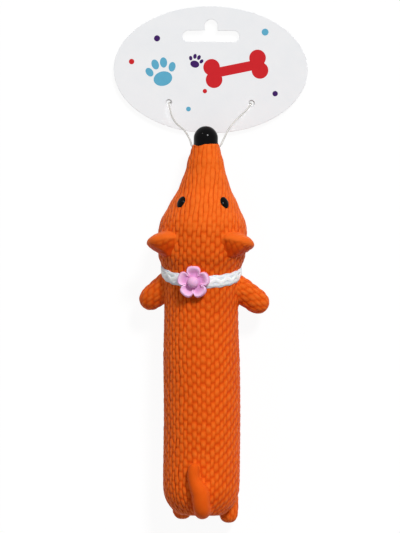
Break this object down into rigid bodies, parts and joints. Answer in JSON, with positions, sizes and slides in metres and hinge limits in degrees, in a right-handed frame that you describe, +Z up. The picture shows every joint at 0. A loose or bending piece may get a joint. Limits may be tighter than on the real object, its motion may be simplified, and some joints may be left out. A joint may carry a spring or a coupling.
{
  "type": "latex dog toy",
  "caption": "Long hollow latex squeaky toy in the shape of a knitted fox, with a plug-in honking squeaker in the feet end and an oval hang card on a nylon loop through the snout.",
  "frame": {"origin": "on the flat of the belly, below the middle of the trunk, on the surface that the toy lies on", "axes": "+Y along the toy from the feet to the nose, +Z up from the belly to the back, +X to the right as seen from above with the nose away"},
  "size_m": [0.1076, 0.2856, 0.0526],
  "materials": {
    "orange_latex": "satin, moulded knit relief",
    "black_latex": "gloss",
    "white_latex": "satin, moulded braid relief",
    "pink_latex": "satin",
    "wadding": "loose fibre",
    "squeaker_plastic": "moulded",
    "reed_film": "clear film",
    "coated_card": "printed, satin coat",
    "clear_nylon": "clear"
  },
  "bodies": {
    "toy": {"body_skin": "orange_latex", "left_ear": "orange_latex", "right_ear": "orange_latex", "left_arm": "orange_latex", "right_arm": "orange_latex", "left_foot": "orange_latex", "right_foot": "orange_latex", "tail": "orange_latex", "nose_tip": "black_latex", "left_eye": "black_latex", "right_eye": "black_latex", "collar_band": "white_latex", "flower_petals": "pink_latex", "flower_centre": "pink_latex", "fibre_fill": "wadding", "squeaker_housing": "squeaker_plastic", "squeaker_grille": "squeaker_plastic", "reed_holder": "squeaker_plastic", "reed_clamp": "squeaker_plastic"},
    "reed": {"reed_tongue": "reed_film"},
    "loop": {"tag_loop": "clear_nylon", "tag_loop_lock": "clear_nylon"},
    "card": {"tag_card": "coated_card"}
  },
  "joints": [
    {"name": "tag_loop_swing", "type": "hinge", "parent": "toy", "child": "loop", "pos_m": [0, 0.1373, 0.0205], "axis": [1, 0, 0], "range_deg": [-65, 140]},
    {"name": "card_tilt", "type": "hinge", "parent": "loop", "child": "card", "pos_m": [0.0008, 0.1621, 0.00298], "axis": [1, 0, 0], "range_deg": [-25, 30]},
    {"name": "reed_flex", "type": "hinge", "parent": "toy", "child": "reed", "pos_m": [0, -0.0555, 0.02275], "axis": [-1, 0, 0], "range_deg": [0, 2.5], "stiffness_Nm_per_rad": 0.0001}
  ]
}
